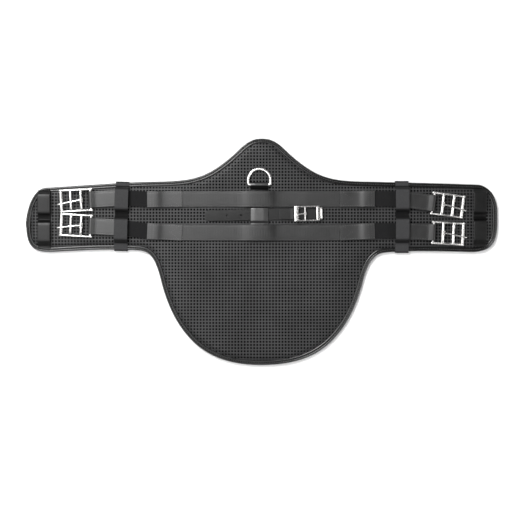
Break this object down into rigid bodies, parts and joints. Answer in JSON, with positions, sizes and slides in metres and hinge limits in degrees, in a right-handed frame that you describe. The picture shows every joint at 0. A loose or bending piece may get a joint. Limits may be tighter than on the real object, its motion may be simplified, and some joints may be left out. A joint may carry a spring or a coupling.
{
  "type": "saddle girth",
  "caption": "Short padded saddle girth with a curved belly guard, straps on elastic inserts with roller buckles for billets, keepers, a dee ring and a small buckled strap.",
  "frame": {"origin": "centre of the bounding box in plan, on the floor under the horse side of the panel", "axes": "+X along the girth from the left strap ends to the right ones, +Y towards the horse's head, +Z from the horse side to the outer face"},
  "size_m": [0.705, 0.339, 0.0197],
  "materials": {
    "waffle_face": "matt black face moulded in a square waffle, soft sheen on the ridges",
    "lining_face": "smooth matt black horse side",
    "foam_padding": "dark closed-cell foam, hidden",
    "edge_binding": "folded black binding, half gloss, stitched",
    "strap_leather": "fine-grained black leather, low sheen, black stitching",
    "elastic_webbing": "flat black woven elastic",
    "keeper_elastic": "ribbed black elastic band",
    "nickel_hardware": "bright nickel plate"
  },
  "bodies": {
    "girth": {"lining": "lining_face", "padding": "foam_padding", "outer_panel": "waffle_face", "edge_binding": "edge_binding", "front_strap": "strap_leather", "rear_strap": "strap_leather", "left_front_tab": "strap_leather", "left_front_elastic": "elastic_webbing", "left_rear_tab": "strap_leather", "left_rear_elastic": "elastic_webbing", "right_front_tab": "strap_leather", "right_front_elastic": "elastic_webbing", "right_rear_tab": "strap_leather", "right_rear_elastic": "elastic_webbing", "left_arm_keeper": "keeper_elastic", "right_arm_keeper": "keeper_elastic", "left_end_keeper": "strap_leather", "right_end_keeper": "strap_leather", "centre_band": "strap_leather"},
    "left_front_chape": {"left_front_chape": "strap_leather"},
    "left_front_buckle": {"left_front_buckle_frame": "nickel_hardware"},
    "left_front_tongue": {"left_front_buckle_tongue": "nickel_hardware"},
    "left_front_roller": {"left_front_buckle_roller": "nickel_hardware"},
    "left_rear_chape": {"left_rear_chape": "strap_leather"},
    "left_rear_buckle": {"left_rear_buckle_frame": "nickel_hardware"},
    "left_rear_tongue": {"left_rear_buckle_tongue": "nickel_hardware"},
    "left_rear_roller": {"left_rear_buckle_roller": "nickel_hardware"},
    "right_front_chape": {"right_front_chape": "strap_leather"},
    "right_front_buckle": {"right_front_buckle_frame": "nickel_hardware"},
    "right_front_tongue": {"right_front_buckle_tongue": "nickel_hardware"},
    "right_front_roller": {"right_front_buckle_roller": "nickel_hardware"},
    "right_rear_chape": {"right_rear_chape": "strap_leather"},
    "right_rear_buckle": {"right_rear_buckle_frame": "nickel_hardware"},
    "right_rear_tongue": {"right_rear_buckle_tongue": "nickel_hardware"},
    "right_rear_roller": {"right_rear_buckle_roller": "nickel_hardware"},
    "dee_ring": {"dee_ring": "nickel_hardware"},
    "small_strap": {"small_strap": "strap_leather", "small_buckle_guard": "strap_leather"},
    "small_buckle": {"small_buckle_frame": "nickel_hardware"},
    "small_tongue": {"small_buckle_tongue": "nickel_hardware"},
    "small_roller": {"small_buckle_roller": "nickel_hardware"}
  },
  "joints": [
    {"name": "left_front_stretch", "type": "slide", "parent": "girth", "child": "left_front_chape", "axis": [-0.9986, -0.0523, 0], "range_m": [0, 0.008], "stiffness_N_per_m": 3000, "deforming": ["left_front_elastic"]},
    {"name": "left_front_buckle_lift", "type": "hinge", "parent": "left_front_chape", "child": "left_front_buckle", "pos_m": [-0.25563, 0.07822, 0.0112], "axis": [-0.0523, 0.9986, 0], "range_deg": [0, 85]},
    {"name": "left_front_tongue_swing", "type": "hinge", "parent": "left_front_buckle", "child": "left_front_tongue", "pos_m": [-0.26971, 0.07748, 0.0126], "axis": [-0.0523, 0.9986, 0], "range_deg": [0, 95]},
    {"name": "left_front_roller_spin", "type": "hinge", "parent": "left_front_buckle", "child": "left_front_roller", "pos_m": [-0.29947, 0.07592, 0.0105], "axis": [0.0523, -0.9986, 0], "continuous": true},
    {"name": "left_rear_stretch", "type": "slide", "parent": "girth", "child": "left_rear_chape", "axis": [-0.9986, 0.0523, 0], "range_m": [0, 0.008], "stiffness_N_per_m": 3000, "deforming": ["left_rear_elastic"]},
    {"name": "left_rear_buckle_lift", "type": "hinge", "parent": "left_rear_chape", "child": "left_rear_buckle", "pos_m": [-0.25563, 0.03879, 0.0112], "axis": [0.0523, 0.9986, 0], "range_deg": [0, 85]},
    {"name": "left_rear_tongue_swing", "type": "hinge", "parent": "left_rear_buckle", "child": "left_rear_tongue", "pos_m": [-0.26971, 0.03952, 0.0126], "axis": [0.0523, 0.9986, 0], "range_deg": [0, 95]},
    {"name": "left_rear_roller_spin", "type": "hinge", "parent": "left_rear_buckle", "child": "left_rear_roller", "pos_m": [-0.29947, 0.04108, 0.0105], "axis": [-0.0523, -0.9986, 0], "continuous": true},
    {"name": "right_front_stretch", "type": "slide", "parent": "girth", "child": "right_front_chape", "axis": [0.9914, -0.1305, 0], "range_m": [0, 0.008], "stiffness_N_per_m": 3000, "deforming": ["right_front_elastic"]},
    {"name": "right_front_buckle_lift", "type": "hinge", "parent": "right_front_chape", "child": "right_front_buckle", "pos_m": [0.25528, 0.07285, 0.0112], "axis": [-0.1305, -0.9914, 0], "range_deg": [0, 85]},
    {"name": "right_front_tongue_swing", "type": "hinge", "parent": "right_front_buckle", "child": "right_front_tongue", "pos_m": [0.26926, 0.07101, 0.0126], "axis": [-0.1305, -0.9914, 0], "range_deg": [0, 95]},
    {"name": "right_front_roller_spin", "type": "hinge", "parent": "right_front_buckle", "child": "right_front_roller", "pos_m": [0.2988, 0.06712, 0.0105], "axis": [0.1305, 0.9914, 0], "continuous": true},
    {"name": "right_rear_stretch", "type": "slide", "parent": "girth", "child": "right_rear_chape", "axis": [0.9984, -0.0558, 0], "range_m": [0, 0.008], "stiffness_N_per_m": 3000, "deforming": ["right_rear_elastic"]},
    {"name": "right_rear_buckle_lift", "type": "hinge", "parent": "right_rear_chape", "child": "right_rear_buckle", "pos_m": [0.25562, 0.02924, 0.0112], "axis": [-0.0558, -0.9984, 0], "range_deg": [0, 85]},
    {"name": "right_rear_tongue_swing", "type": "hinge", "parent": "right_rear_buckle", "child": "right_rear_tongue", "pos_m": [0.2697, 0.02846, 0.0126], "axis": [-0.0558, -0.9984, 0], "range_deg": [0, 95]},
    {"name": "right_rear_roller_spin", "type": "hinge", "parent": "right_rear_buckle", "child": "right_rear_roller", "pos_m": [0.29946, 0.02679, 0.0105], "axis": [0.0558, 0.9984, 0], "continuous": true},
    {"name": "dee_ring_swing", "type": "hinge", "parent": "girth", "child": "dee_ring", "pos_m": [-0.004, 0.1006, 0.0111], "axis": [1, 0, 0], "range_deg": [0, 150]},
    {"name": "small_strap_slide", "type": "slide", "parent": "girth", "child": "small_strap", "axis": [0.9998, 0.0209, 0], "range_m": [-0.015, 0.025]},
    {"name": "small_buckle_lift", "type": "hinge", "parent": "small_strap", "child": "small_buckle", "pos_m": [0.05129, 0.05716, 0.01215], "axis": [0.0209, -0.9998, 0], "range_deg": [0, 30]},
    {"name": "small_tongue_swing", "type": "hinge", "parent": "small_buckle", "child": "small_tongue", "pos_m": [0.06428, 0.05743, 0.0144], "axis": [-0.0209, 0.9998, 0], "range_deg": [0, 150]},
    {"name": "small_roller_spin", "type": "hinge", "parent": "small_buckle", "child": "small_roller", "pos_m": [0.08858, 0.05794, 0.0122], "axis": [-0.0209, 0.9998, 0], "continuous": true}
  ]
}
